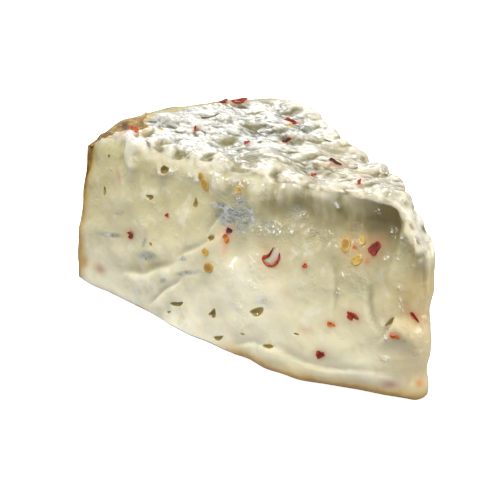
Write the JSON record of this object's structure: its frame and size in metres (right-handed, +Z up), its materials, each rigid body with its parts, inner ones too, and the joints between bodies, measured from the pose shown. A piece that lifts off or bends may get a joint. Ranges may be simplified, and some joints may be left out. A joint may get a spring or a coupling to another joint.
{
  "type": "blue cheese wedge",
  "caption": "Wedge of soft blue cheese with chilli flakes and seeds: cut top and sides, rind on the curved heel and the base, slumped front face.",
  "frame": {"origin": "bottom centre of the wedge's bounding box, on the base", "axes": "+Z up; +X towards the point of the wedge, along its length; the slumped front cut face looks towards -Y and the rind-covered heel towards -X"},
  "size_m": [0.1616, 0.0972, 0.064],
  "materials": {
    "cheese_paste": "wet, creamy cut paste of a soft blue cheese, with grey-blue mould",
    "cheese_rind": "dry, pitted, golden-brown natural rind",
    "chilli_skin": "wet red chilli skin",
    "chilli_seed": "wet straw-yellow chilli seed"
  },
  "bodies": {
    "root": {"cheese_wedge": "cheese_paste"}
  },
  "joints": []
}
